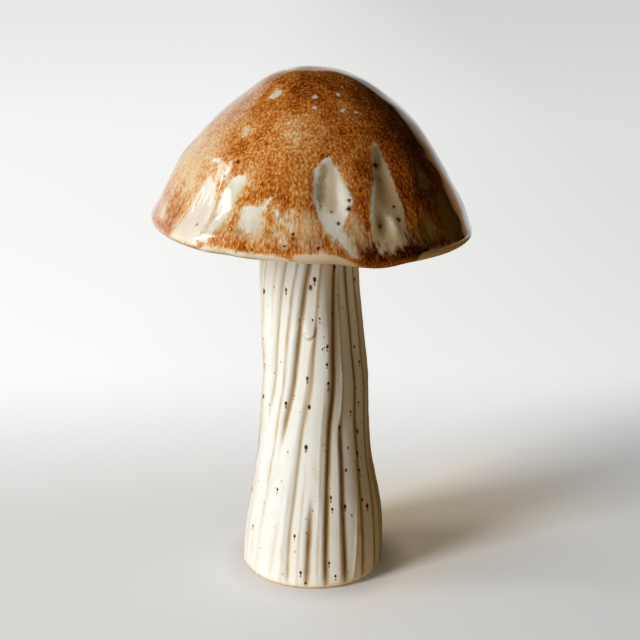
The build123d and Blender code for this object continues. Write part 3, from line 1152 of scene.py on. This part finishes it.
class Paint(Nodes):
    """Builds one material's nodes."""

    def __init__(self, name, bend=1.5):
        self.material = bpy.data.materials.new(name)
        self.material.use_nodes = True
        super().__init__(self.material.node_tree)
        self.surface = self.tree.nodes["Principled BSDF"]
        self.surface.inputs["IOR"].default_value = bend

    def value(self, name, out="Fac"):
        """An attribute of the mesh."""
        return self.node("ShaderNodeAttribute", {}, out, attribute_name=name)

    def scaled(self, vector, scale):
        """A vector times a scale for each axis."""
        return self.node("ShaderNodeVectorMath", {0: vector, 1: scale}, operation="MULTIPLY")

    def moved(self, vector, shift):
        """A vector plus a shift."""
        return self.node("ShaderNodeVectorMath", {0: vector, 1: shift}, operation="ADD")

    def noise(self, vector, scale, detail=2.0, roughness=0.5, distortion=0.0):
        """Noise from 0 to 1, its scale in features per metre."""
        inputs = {"Vector": vector, "Scale": scale, "Detail": detail, "Roughness": roughness}
        return self.node("ShaderNodeTexNoise", {**inputs, "Distortion": distortion})

    def cells(self, vector, scale, **settings):
        """Cells about scattered points, their scale in cells per metre; gives all outputs."""
        inputs = {"Vector": vector, "Scale": scale}
        return self.node("ShaderNodeTexVoronoi", inputs, **settings).node.outputs

    def warped(self, vector, scale, push):
        """A vector pushed about by noise, for ragged borders."""
        inputs = {"Vector": vector, "Scale": scale, "Detail": 2.0}
        noise = self.node("ShaderNodeTexNoise", inputs, "Color")
        middle = {0: noise, 1: (0.5, 0.5, 0.5)}
        noise = self.node("ShaderNodeVectorMath", middle, operation="SUBTRACT")
        return self.moved(vector, self.scaled(noise, (push, push, push)))

    def blend(self, *terms):
        """Sum of weighted values, each less its middle of one half."""
        parts = [self.product(self.math("SUBTRACT", value, 0.5), weight) for value, weight in terms]
        return self.total(*parts)

    def over(self, colour, place, other, most=1.0):
        """Another colour laid over one at a place, up to a most."""
        return self.mix(self.product(place, most), colour, other)

    def layers(self, colour, *rows):
        """Colours laid over one in turn by smooth steps: each one's value, low, high, colour and most."""
        for value, low, high, other, most in rows:
            colour = self.over(colour, self.step(value, low, high), other, most)
        return colour

    def ramp(self, value, stops):
        """Colour read off a row of stops."""
        made = self.tree.nodes.new("ShaderNodeValToRGB")
        self.put(made.inputs[0], value)
        row = made.color_ramp.elements
        while len(row) < len(stops):
            row.new(0.5)
        for element, (position, colour) in zip(row, stops):
            element.position = position
            element.color = (*colour, 1.0)
        return made.outputs["Color"]

    def specks(self, vector, places):
        """Distance to the nearest listed point, counted in its radius."""
        gaps = []
        for point, radius in places:
            inputs = {0: vector, 1: tuple(point)}
            gap = self.node("ShaderNodeVectorMath", inputs, "Value", operation="DISTANCE")
            gaps.append(self.math("DIVIDE", gap, radius))
        return self.chain("MINIMUM", *gaps)

    def freckles(self, vector, scale, most):
        """Distance to the nearest scattered point, counted in a radius that differs from point to point."""
        cell = self.cells(vector, scale)
        split = self.node("ShaderNodeSeparateColor", {0: cell["Color"]})
        size = self.product(self.math("POWER", split, 2.0), most)
        return self.math("DIVIDE", cell["Distance"], self.total(size, LEAST_FRECKLE))

    def finish(self, colour, roughness, height, distance, strength):
        """Links the colour, the roughness and a bump to the shader."""
        self.put(self.surface.inputs["Base Color"], colour)
        self.put(self.surface.inputs["Roughness"], roughness)
        inputs = {"Height": height, "Distance": distance, "Strength": strength}
        self.put(self.surface.inputs["Normal"], self.node("ShaderNodeBump", inputs))
        return self.material


def toned(colour, share):
    """A colour made lighter or darker by a share."""
    return tuple(min(1.0, share * part) for part in colour)


def clay_colour(paint, colours):
    """Colour and tooth of bare stoneware: clouds, grain and iron freckles."""
    place = paint.place()
    cloud = paint.noise(place, scale=60.0, detail=3.0)
    grain = paint.noise(place, scale=1400.0, detail=3.0, roughness=0.7)
    light = paint.blend((cloud, 1.0), (grain, 0.9))
    freckle = paint.freckles(place, scale=420.0, most=0.30)
    colour = paint.layers(
        toned(colours.clay, 0.72),
        (light, -0.45, 0.45, toned(colours.clay, 1.22), 1.0),
        (freckle, 1.1, 0.8, colours.bleed, 1.0),
    )
    return colour, grain


def clay_paint(name, colours):
    """Bare stoneware: buff grain, iron freckles and a dry fine tooth."""
    paint = Paint(name)
    colour, tooth = clay_colour(paint, colours)
    return paint.finish(colour, 0.82, tooth, distance=0.0002, strength=0.5)


def cork_paint(colours):
    """Pressed cork: grains of differing brown with dark seams and pits."""
    paint = Paint("pressed_cork")
    place = paint.warped(paint.place(), scale=700.0, push=0.0006)
    grain = paint.cells(place, scale=620.0)
    seam = paint.cells(place, scale=620.0, feature="DISTANCE_TO_EDGE")["Distance"]
    tone = paint.node("ShaderNodeSeparateColor", {0: grain["Color"]})
    pits = paint.step(paint.noise(place, scale=900.0), low=0.64, high=0.72)
    colour = paint.mix(tone, colours.cork, toned(colours.cork, 1.35))
    colour = paint.layers(colour, (seam, 0.10, 0.0, colours.cork_dark, 0.8))
    colour = paint.over(colour, pits, colours.cork_dark)
    return paint.finish(colour, 0.9, paint.math("SUBTRACT", seam, pits), distance=0.0003, strength=0.6)


def stem_glaze(paint, colours, place):
    """White glaze: warmer where thin, cooler where thick, brown on ridges, and brown in the creases,
    which is glaze that pools there and painted shade.
    """
    runs = paint.noise(paint.scaled(place, (1.0, 1.0, 0.16)), scale=420.0, detail=4.0, roughness=0.6)
    cloud = paint.noise(place, scale=45.0, detail=3.0)
    thin = paint.blend((cloud, 0.8), (runs, 1.2))
    bare = paint.product(paint.value("bare"), paint.step(runs, low=0.25, high=0.60))
    stain_and_shade = paint.product(paint.value("stain_and_shade"), paint.total(runs, 0.55))
    colour = paint.layers(
        colours.stem,
        (thin, 0.0, 0.45, colours.stem_warm, 1.0),
        (paint.value("hollow"), 0.05, 0.5, colours.stem_cool, 0.8),
    )
    return paint.layers(
        paint.over(colour, bare, colours.ridge, most=0.85),
        # Brown in the creases: glaze that pools there and painted shade.
        (stain_and_shade, 0.02, 0.45, colours.ridge, 0.8),
        (stain_and_shade, 0.20, 1.0, colours.pooled_and_shaded, 0.95),
    )


def stem_specks(paint, colours, sizes, place, colour):
    """Iron specks over the stem's glaze, drawn out downwards, with brown tails and freckles."""
    squat = (1.0, 1.0, 0.62)
    places = []
    for azimuth, height, radius in STEM_SPECKS:
        cut, _ = flute_cuts(sizes, from_front(azimuth), height)
        places.append((stem_point(sizes, from_front(azimuth), height, cut) * squat, radius))
    flat = paint.scaled(place, squat)
    ragged = paint.warped(flat, scale=1500.0, push=0.0006)
    speck = paint.specks(ragged, places)
    tail = paint.specks(paint.moved(ragged, (0.0, 0.0, 0.0009)), places)
    small = paint.freckles(paint.moved(ragged, (0.0, 0.0047, 0.0)), scale=170.0, most=0.16)
    tiny = paint.freckles(flat, scale=420.0, most=0.21)
    bleed = paint.largest((tail, 0.85, 0.55), (speck, 1.05, 0.85), (small, 1.7, 0.8))
    dark = paint.largest((speck, 0.80, 0.62), (small, 1.0, 0.7))
    colour = paint.over(colour, bleed, colours.bleed, most=0.8)
    colour = paint.over(colour, dark, colours.iron)
    return paint.layers(colour, (tiny, 1.0, 0.6, colours.bleed, 0.75))


def stem_paint(colours, sizes):
    """The stem's white glaze with its iron specks, and bare clay where it isn't glazed."""
    paint = Paint("stem_glaze", bend=1.36)
    place = paint.place()
    colour = stem_glaze(paint, colours, place)
    colour = stem_specks(paint, colours, sizes, place, colour)
    clay, tooth = clay_colour(paint, colours)
    glazed = paint.value("glazed")
    colour = paint.mix(glazed, clay, colour)
    rough = paint.slide(glazed, low=0.0, high=1.0, start=0.85, end=0.18)
    height = paint.blend((paint.noise(place, scale=260.0), 1.0), (tooth, 0.12))
    return paint.finish(colour, rough, height, distance=0.00010, strength=0.3)


def cap_grain(paint):
    """Patterns in the cap's glaze: fine grain, curls and broad clouds, strands that run down, and grit."""
    flow = paint.value("flow", "Vector")
    strands = paint.value("strands", "Vector")
    return {
        "flow": flow,
        "fine": paint.noise(flow, scale=1000.0, detail=1.0, roughness=0.5, distortion=0.5),
        "curl": paint.noise(flow, scale=380.0, detail=2.0, roughness=0.55, distortion=1.2),
        "broad": paint.noise(flow, scale=95.0, detail=3.0, roughness=0.55),
        "strand": paint.noise(strands, scale=760.0, detail=2.0, roughness=0.55, distortion=0.6),
        "grit": paint.noise(paint.place(), scale=480.0, detail=3.0, roughness=0.6),
    }


def rust_colour(paint, colours, grain):
    """Rust glaze, dark where thick and tan where thin, near black where it paints the right side's shade:
    one mottle value picks its colour.

    The mottle is the mesh's tone, which also paints shade on the right side and a sheen at the left
    edge, plus curls and clouds, strands low on the cap, a veil round the cream pools, and pale dots and
    dark grain.
    """
    fine = grain["fine"]
    strands = paint.product(paint.blend((grain["strand"], 0.5)), paint.value("lower"))
    veil = paint.product(paint.step(paint.value("cream"), low=-0.0035, high=0.0005), 0.10)
    ragged = paint.warped(grain["flow"], scale=520.0, push=0.0020)
    dot = paint.cells(ragged, scale=800.0, voronoi_dimensions="2D")["Distance"]
    dots = paint.product(paint.step(dot, low=0.50, high=0.16), 0.16)
    light = paint.total(dots, paint.product(paint.step(fine, low=0.48, high=0.62), 0.09))
    dark = paint.product(paint.step(fine, low=0.47, high=0.34), 0.10)
    clouds = paint.blend((grain["curl"], 0.40), (grain["broad"], 0.58))
    mottle = paint.total(clouds, paint.value("tone"), strands, veil, paint.math("SUBTRACT", light, dark))
    stops = (
        # Near black: painted shade on the right side.
        (0.10, colours.deep_rust_and_shade),
        (0.32, colours.rust_dark),
        (0.48, colours.rust),
        (0.62, colours.orange),
        (0.76, colours.tan),
        (0.95, colours.straw),
    )
    return paint.ramp(mottle, stops)


def pooled_colour(paint, colours, grain, colour):
    """The other glazes laid over the rust: each one's signed distance, made ragged, and softer low down."""
    curl, broad, strand = grain["curl"], grain["broad"], grain["strand"]
    drip = paint.value("drip")
    run = paint.product(paint.blend((strand, 0.009), (grain["fine"], 0.003)), drip)
    ragged = paint.total(paint.blend((grain["grit"], 0.0016), (curl, 0.0020)), run)
    soft = paint.total(paint.product(drip, 3.0), 1.0)
    inside = {}
    for name in POOLS:
        inside[name] = paint.math("DIVIDE", paint.total(paint.value(name), ragged), soft)
    tawny = paint.layers(colours.tawny, (curl, 0.35, 0.70, colours.beige, 1.0))
    cream = paint.layers(
        colours.cream,
        (broad, 0.42, 0.62, colours.celadon, 1.0),
        (strand, 0.45, 0.65, colours.straw, 0.25),
        (inside["beige"], -0.0012, 0.0010, colours.beige, 0.80),
        (inside["blush"], -0.0012, 0.0010, colours.blush, 0.70),
    )
    return paint.layers(
        colour,
        (inside["straw"], -0.0016, 0.0012, colours.straw, 0.60),
        (inside["moss"], -0.0010, 0.0010, colours.moss, 0.80),
        # Tawny, in one place a painted reflection of the floor on the lip's underside.
        (inside["tawny"], -0.0005, 0.0007, tawny, 1.0),
        (inside["cream"], -0.0010, 0.0002, colours.straw, 0.50),
        (inside["cream"], -0.0003, 0.0006, cream, 1.0),
        # Olive: thick glaze and painted shade in the pools' hollows.
        (inside["olive"], -0.0010, 0.0010, colours.olive, 0.92),
    )


def cap_places(sizes, table):
    """Points on the cap's outer face, and radii, from rows of azimuth, share and radius."""
    places = []
    for azimuth, share, radius in table:
        places.append((cap_point(sizes, from_front(azimuth), share, 0.0, 0.0), radius))
    return places


def cap_specks(paint, colours, sizes, colour):
    """Pale spots on the crown, and iron specks and freckles with a rusty ring."""
    place = paint.place()
    spot = paint.specks(paint.warped(place, scale=700.0, push=0.0022), cap_places(sizes, CROWN_SPOTS))
    speck = paint.specks(paint.warped(place, scale=1300.0, push=0.0016), cap_places(sizes, CAP_SPECKS))
    small = paint.freckles(place, scale=150.0, most=0.07)
    colour = paint.layers(
        colour,
        (spot, 1.2, 0.5, colours.cream, 0.75),
        (speck, 1.8, 0.8, colours.rust_dark, 0.55),
    )
    return paint.over(colour, paint.largest((speck, 0.9, 0.6), (small, 1.0, 0.7)), colours.iron)


def cap_paint(colours, sizes):
    """Rust glaze under a clear gloss, with pale pools, spots and iron specks, and a cream inside."""
    paint = Paint("cap_glaze")
    paint.surface.inputs["Coat Weight"].default_value = 0.8
    paint.surface.inputs["Coat Roughness"].default_value = 0.03
    grain = cap_grain(paint)
    colour = rust_colour(paint, colours, grain)
    colour = pooled_colour(paint, colours, grain, colour)
    colour = cap_specks(paint, colours, sizes, colour)
    within = paint.layers(colours.beige, (grain["broad"], 0.35, 0.65, colours.stem, 1.0))
    colour = paint.mix(paint.value("inside"), colour, within)
    rough = paint.slide(grain["broad"], low=0.0, high=1.0, start=0.04, end=0.12)
    waves = paint.noise(grain["flow"], scale=90.0)
    ripples = paint.noise(paint.place(), scale=240.0)
    height = paint.blend((waves, 1.0), (ripples, 0.9))
    return paint.finish(colour, rough, height, distance=0.00020, strength=0.25)


class MUSHROOM_OT_stem(bpy.types.Operator):
    """Make the carved, glazed stem"""

    bl_idname = "mushroom.stem"
    bl_label = "Stem"

    def execute(self, context):
        sizes, colours = context.scene.mushroom_stem, context.scene.mushroom_colours
        grid, values = stem_grid(sizes)
        glaze = stem_paint(colours, sizes)
        add_piece("carved_stem", "stem", "stem_tube", glaze, grid, values=values)
        return {"FINISHED"}


class MUSHROOM_OT_foot(bpy.types.Operator):
    """Make the turned clay disc under the stem"""

    bl_idname = "mushroom.foot"
    bl_label = "Foot Disc"

    def execute(self, context):
        sizes, colours = context.scene.mushroom_stem, context.scene.mushroom_colours
        radius, height = disc_profile(sizes)
        poles = ((0.0, 0.0, height[0]), (0.0, 0.0, height[-1]))
        clay = clay_paint("foot_clay", colours)
        add_piece("turned_foot", "stem", "foot_disc", clay, loop_grid(radius, height), poles)
        return {"FINISHED"}


class MUSHROOM_OT_seat(bpy.types.Operator):
    """Make the cork ring that the cap sits and turns on"""

    bl_idname = "mushroom.seat"
    bl_label = "Cork Seat"

    def execute(self, context):
        sizes, colours = context.scene.mushroom_stem, context.scene.mushroom_colours
        low, high = sizes.height, sizes.height + sizes.seat_depth
        grid = loop_grid(*rounded_ring(sizes.seat_inner, sizes.seat_outer, low, high, SOFT_SEAT))
        add_piece("cork_seat", "seat", "seat_ring", cork_paint(colours), grid)
        return {"FINISHED"}


class MUSHROOM_OT_cap(bpy.types.Operator):
    """Make the glazed cap"""

    bl_idname = "mushroom.cap"
    bl_label = "Cap"

    def execute(self, context):
        sizes, colours = context.scene.mushroom_cap, context.scene.mushroom_colours
        grid, poles, values = cap_grid(sizes)
        glaze = cap_paint(colours, sizes)
        add_piece("glazed_cap", "cap", "cap_dome", glaze, grid, poles, values)
        return {"FINISHED"}


class MUSHROOM_OT_collar(bpy.types.Operator):
    """Make the clay collar inside the cap"""

    bl_idname = "mushroom.collar"
    bl_label = "Collar"

    def execute(self, context):
        sizes, colours = context.scene.mushroom_cap, context.scene.mushroom_colours
        clay = clay_paint("collar_clay", colours)
        grid = loop_grid(*collar_profile(sizes))
        add_piece("clay_collar", "cap", "cap_collar", clay, grid)
        return {"FINISHED"}


class MUSHROOM_OT_studio(bpy.types.Operator):
    """Set up the floor, the light and the camera"""

    bl_idname = "mushroom.studio"
    bl_label = "Studio"

    def execute(self, context):
        studio = context.scene.mushroom_studio
        make_floor(studio)
        make_world(context.scene, studio)
        key = make_light("key", studio.key_power, *KEY_LAMP)
        key.visible_glossy = False
        key.data.color = studio.daylight
        make_light("window", studio.window_power, *WINDOW_LAMP)
        make_camera(context.scene, studio)
        context.scene.view_settings.view_transform = "Standard"
        return {"FINISHED"}


def make_light(name, power, width, depth, place):
    """Rectangular lamp that faces the object."""
    lamp = bpy.data.lights.new(name, "AREA")
    lamp.shape = "RECTANGLE"
    lamp.size, lamp.size_y = width, depth
    lamp.energy = power
    made = bpy.data.objects.new(name, lamp)
    made.location = place
    made.rotation_euler = (Vector(LAMP_TARGET) - Vector(place)).to_track_quat("-Z", "Y").to_euler()
    bpy.context.scene.collection.objects.link(made)
    return made


def make_camera(scene, studio):
    """Camera in front of the stem, looking down at it."""
    camera = bpy.data.objects.new("camera", bpy.data.cameras.new("camera"))
    camera.data.lens = studio.lens
    camera.data.sensor_width = SENSOR
    camera.data.clip_start = NEAR_CLIP
    camera.location = (studio.camera_side, -studio.camera_back, studio.camera_height)
    camera.rotation_euler = (radians(90.0) - studio.camera_pitch, 0.0, 0.0)
    scene.collection.objects.link(camera)
    scene.camera = camera


def make_floor(studio):
    """Pale square floor just under the foot."""
    mesh = bpy.data.meshes.new("floor")
    corners = [(-FLOOR_REACH, -FLOOR_REACH), (FLOOR_REACH, -FLOOR_REACH)]
    corners += [(FLOOR_REACH, FLOOR_REACH), (-FLOOR_REACH, FLOOR_REACH)]
    mesh.from_pydata([(x, y, -FLOOR_GAP) for x, y in corners], [], [(0, 1, 2, 3)])
    mesh.materials.append(floor_paint(studio))
    floor = bpy.data.objects.new("floor", mesh)
    bpy.context.scene.collection.objects.link(floor)


def floor_paint(studio):
    """The floor as it is seen, as it throws light on the object, and as the object mirrors it.

    Reflections see it lit to the left and far behind and brown elsewhere. From below it is clear.
    """
    material = bpy.data.materials.new("floor")
    material.use_nodes = True
    nodes = Nodes(material.node_tree)
    nodes.tree.nodes.clear()
    spot = nodes.place()
    x, y, _ = nodes.axes(spot)
    reach = nodes.node("ShaderNodeVectorMath", {0: spot}, "Value", operation="LENGTH")
    seen = seen_floor(nodes, studio, x, y, reach)
    thrown = thrown_light(nodes, studio, x, y, reach)
    pale = nodes.largest((x, -0.05, -0.25), (y, 0.35, 0.70))
    mirrored = nodes.either(pale, nodes.shader("ShaderNodeBsdfDiffuse", studio.shade), seen)
    above = nodes.either(nodes.ray("Is Glossy Ray"), thrown, mirrored)
    above = nodes.either(nodes.ray("Is Camera Ray", "Is Transmission Ray"), above, seen)
    clear = nodes.shader("ShaderNodeBsdfTransparent", (1.0, 1.0, 1.0))
    under = nodes.node("ShaderNodeNewGeometry", {}, "Backfacing")
    nodes.node_out("ShaderNodeOutputMaterial", nodes.either(under, above, clear))
    return material


def seen_floor(nodes, studio, x, y, reach):
    """Pale floor with a glow that grows behind and round the object, less so towards the key lamp.

    The glow weakens to the right, ends under the foot, is dim close to the stem on its shaded side,
    and is warm in the shadow, a band that runs from the foot to the right and back.
    """
    away = nodes.math("MAXIMUM", y, nodes.math("SUBTRACT", reach, GLOW_START))
    near = nodes.product(nodes.step(away, low=0.0, high=0.25), studio.near_glow)
    far = nodes.product(nodes.step(away, low=0.2, high=1.3), studio.far_glow)
    edge = nodes.product(nodes.step(reach, low=3.5, high=9.0), studio.edge_glow)
    to_key = nodes.along(x, y, TO_KEY)
    by_key = nodes.steps((to_key, 0.2, 0.9), (to_key, 2.2, 1.6))
    glow = nodes.total(nodes.dimmed(nodes.total(near, far, edge), by_key, KEY_LOSS), studio.foot_glow)
    side = nodes.math("MINIMUM", nodes.math("MAXIMUM", x, SIDE_RANGE[0]), SIDE_RANGE[1])
    glow = nodes.product(nodes.dimmed(glow, side, SIDE_LOSS), nodes.step(reach, low=0.018, high=0.042))
    # Painted shadow on the floor: dim beside the stem's shaded side, and at the foot a contact shadow.
    by_stem = nodes.steps((x, 0.0, 0.04), (reach, 0.16, 0.05), (y, -0.035, -0.01), (y, 0.045, 0.02))
    at_foot = nodes.steps((x, -0.005, 0.015), (reach, 0.044, 0.027))
    glow = nodes.dimmed(nodes.dimmed(glow, by_stem, STEM_LOSS), at_foot, FOOT_LOSS)
    off_band = nodes.along(x, y, ACROSS_SHADOW)
    band = ((off_band, 0.08, 0.02), (off_band, -0.07, -0.02))
    shadow = nodes.steps(*band, (x, -0.01, 0.03), (reach, 0.20, 0.03))
    return nodes.glowing(studio.floor, nodes.mix(shadow, studio.glow, studio.warmth), glow)


def thrown_light(nodes, studio, x, y, reach):
    """Light from the floor on the object: pale from the lit side, brown from the shaded side.

    A lift round the foot and a wider one behind stand for the light of a room.
    """
    across = nodes.total(x, nodes.product(nodes.math("MINIMUM", y, BORDER_STOP), BORDER_LEAN))
    colour = nodes.mix(nodes.step(across, low=0.02, high=-0.09), studio.shade, studio.bounce)
    at_foot = nodes.product(nodes.steps((across, 0.07, -0.05), (reach, 0.13, 0.04)), FOOT_LIFT)
    behind = nodes.product(nodes.steps((y, 0.03, 0.20), (x, 0.12, -0.10)), BACK_LIFT)
    return nodes.glowing(colour, studio.bounce, nodes.total(at_foot, behind))


def make_world(scene, studio):
    """Bright side in reflections from the left round to behind, a dim warm room, plain to the camera.

    Bearings run from straight behind towards the right. The bright side ends at a height that falls
    towards the right, fades up to it, dims towards the right and is brown at its right end.
    """
    world = bpy.data.worlds.new("studio")
    world.use_nodes = True
    scene.world = world
    nodes = Nodes(world.node_tree)
    nodes.tree.nodes.clear()
    x, y, z = nodes.axes(nodes.place("Generated"))
    bearing = nodes.math("ARCTAN2", x, y)
    left, left_full, right_end = radians(-125.0), radians(-95.0), radians(44.0)
    top = nodes.slide(bearing, low=radians(-30.0), high=radians(10.0), start=0.58, end=0.36)
    above = nodes.math("SUBTRACT", z, top)
    bright = nodes.product(
        nodes.step(bearing, low=left, high=left_full),
        nodes.slide(above, low=-0.30, high=0.0, start=1.0, end=0.5),
        nodes.step(above, low=0.02, high=-0.04),
        nodes.step(bearing, low=right_end + radians(3.0), high=right_end),
        nodes.slide(bearing, low=radians(10.0), high=right_end, start=0.75, end=0.42),
        nodes.ray("Is Glossy Ray"),
    )
    pane = nodes.mix(nodes.step(bearing, low=radians(20.0), high=right_end), studio.sky, studio.dusk)
    light = nodes.shader("ShaderNodeBackground", nodes.mix(bright, studio.room, pane))
    plain = nodes.shader("ShaderNodeBackground", studio.backdrop)
    nodes.node_out("ShaderNodeOutputWorld", nodes.either(nodes.ray("Is Camera Ray"), light, plain))


class MUSHROOM_PT_pieces(bpy.types.Panel):
    """Lists the mushroom's pieces and settings"""

    bl_idname = "MUSHROOM_PT_pieces"
    bl_label = "Glazed Mushroom"
    bl_space_type = "VIEW_3D"
    bl_region_type = "UI"
    bl_category = "Mushroom"

    def draw(self, context):
        for operator in OPERATORS:
            self.layout.operator(operator.bl_idname)
        for name in GROUPS:
            group = getattr(context.scene, name)
            box = self.layout.box()
            for key in group.__annotations__:
                box.prop(group, key)


GROUPS = {
    "mushroom_stem": StemSizes,
    "mushroom_cap": CapSizes,
    "mushroom_colours": GlazeColours,
    "mushroom_studio": StudioSettings,
}
OPERATORS = (
    MUSHROOM_OT_stem,
    MUSHROOM_OT_foot,
    MUSHROOM_OT_seat,
    MUSHROOM_OT_cap,
    MUSHROOM_OT_collar,
    MUSHROOM_OT_studio,
)


def register():
    """Registers the settings, the operators and the panel."""
    for kind in (*GROUPS.values(), *OPERATORS, MUSHROOM_PT_pieces):
        bpy.utils.register_class(kind)
    for name, group in GROUPS.items():
        setattr(bpy.types.Scene, name, bpy.props.PointerProperty(type=group))


def unregister():
    """Takes them away again."""
    for name in GROUPS:
        delattr(bpy.types.Scene, name)
    for kind in reversed((*GROUPS.values(), *OPERATORS, MUSHROOM_PT_pieces)):
        bpy.utils.unregister_class(kind)


def main():
    """Builds every piece and the studio."""
    register()
    bpy.ops.mushroom.stem()
    bpy.ops.mushroom.foot()
    bpy.ops.mushroom.seat()
    bpy.ops.mushroom.cap()
    bpy.ops.mushroom.collar()
    bpy.ops.mushroom.studio()


if __name__ == "__main__":
    main()
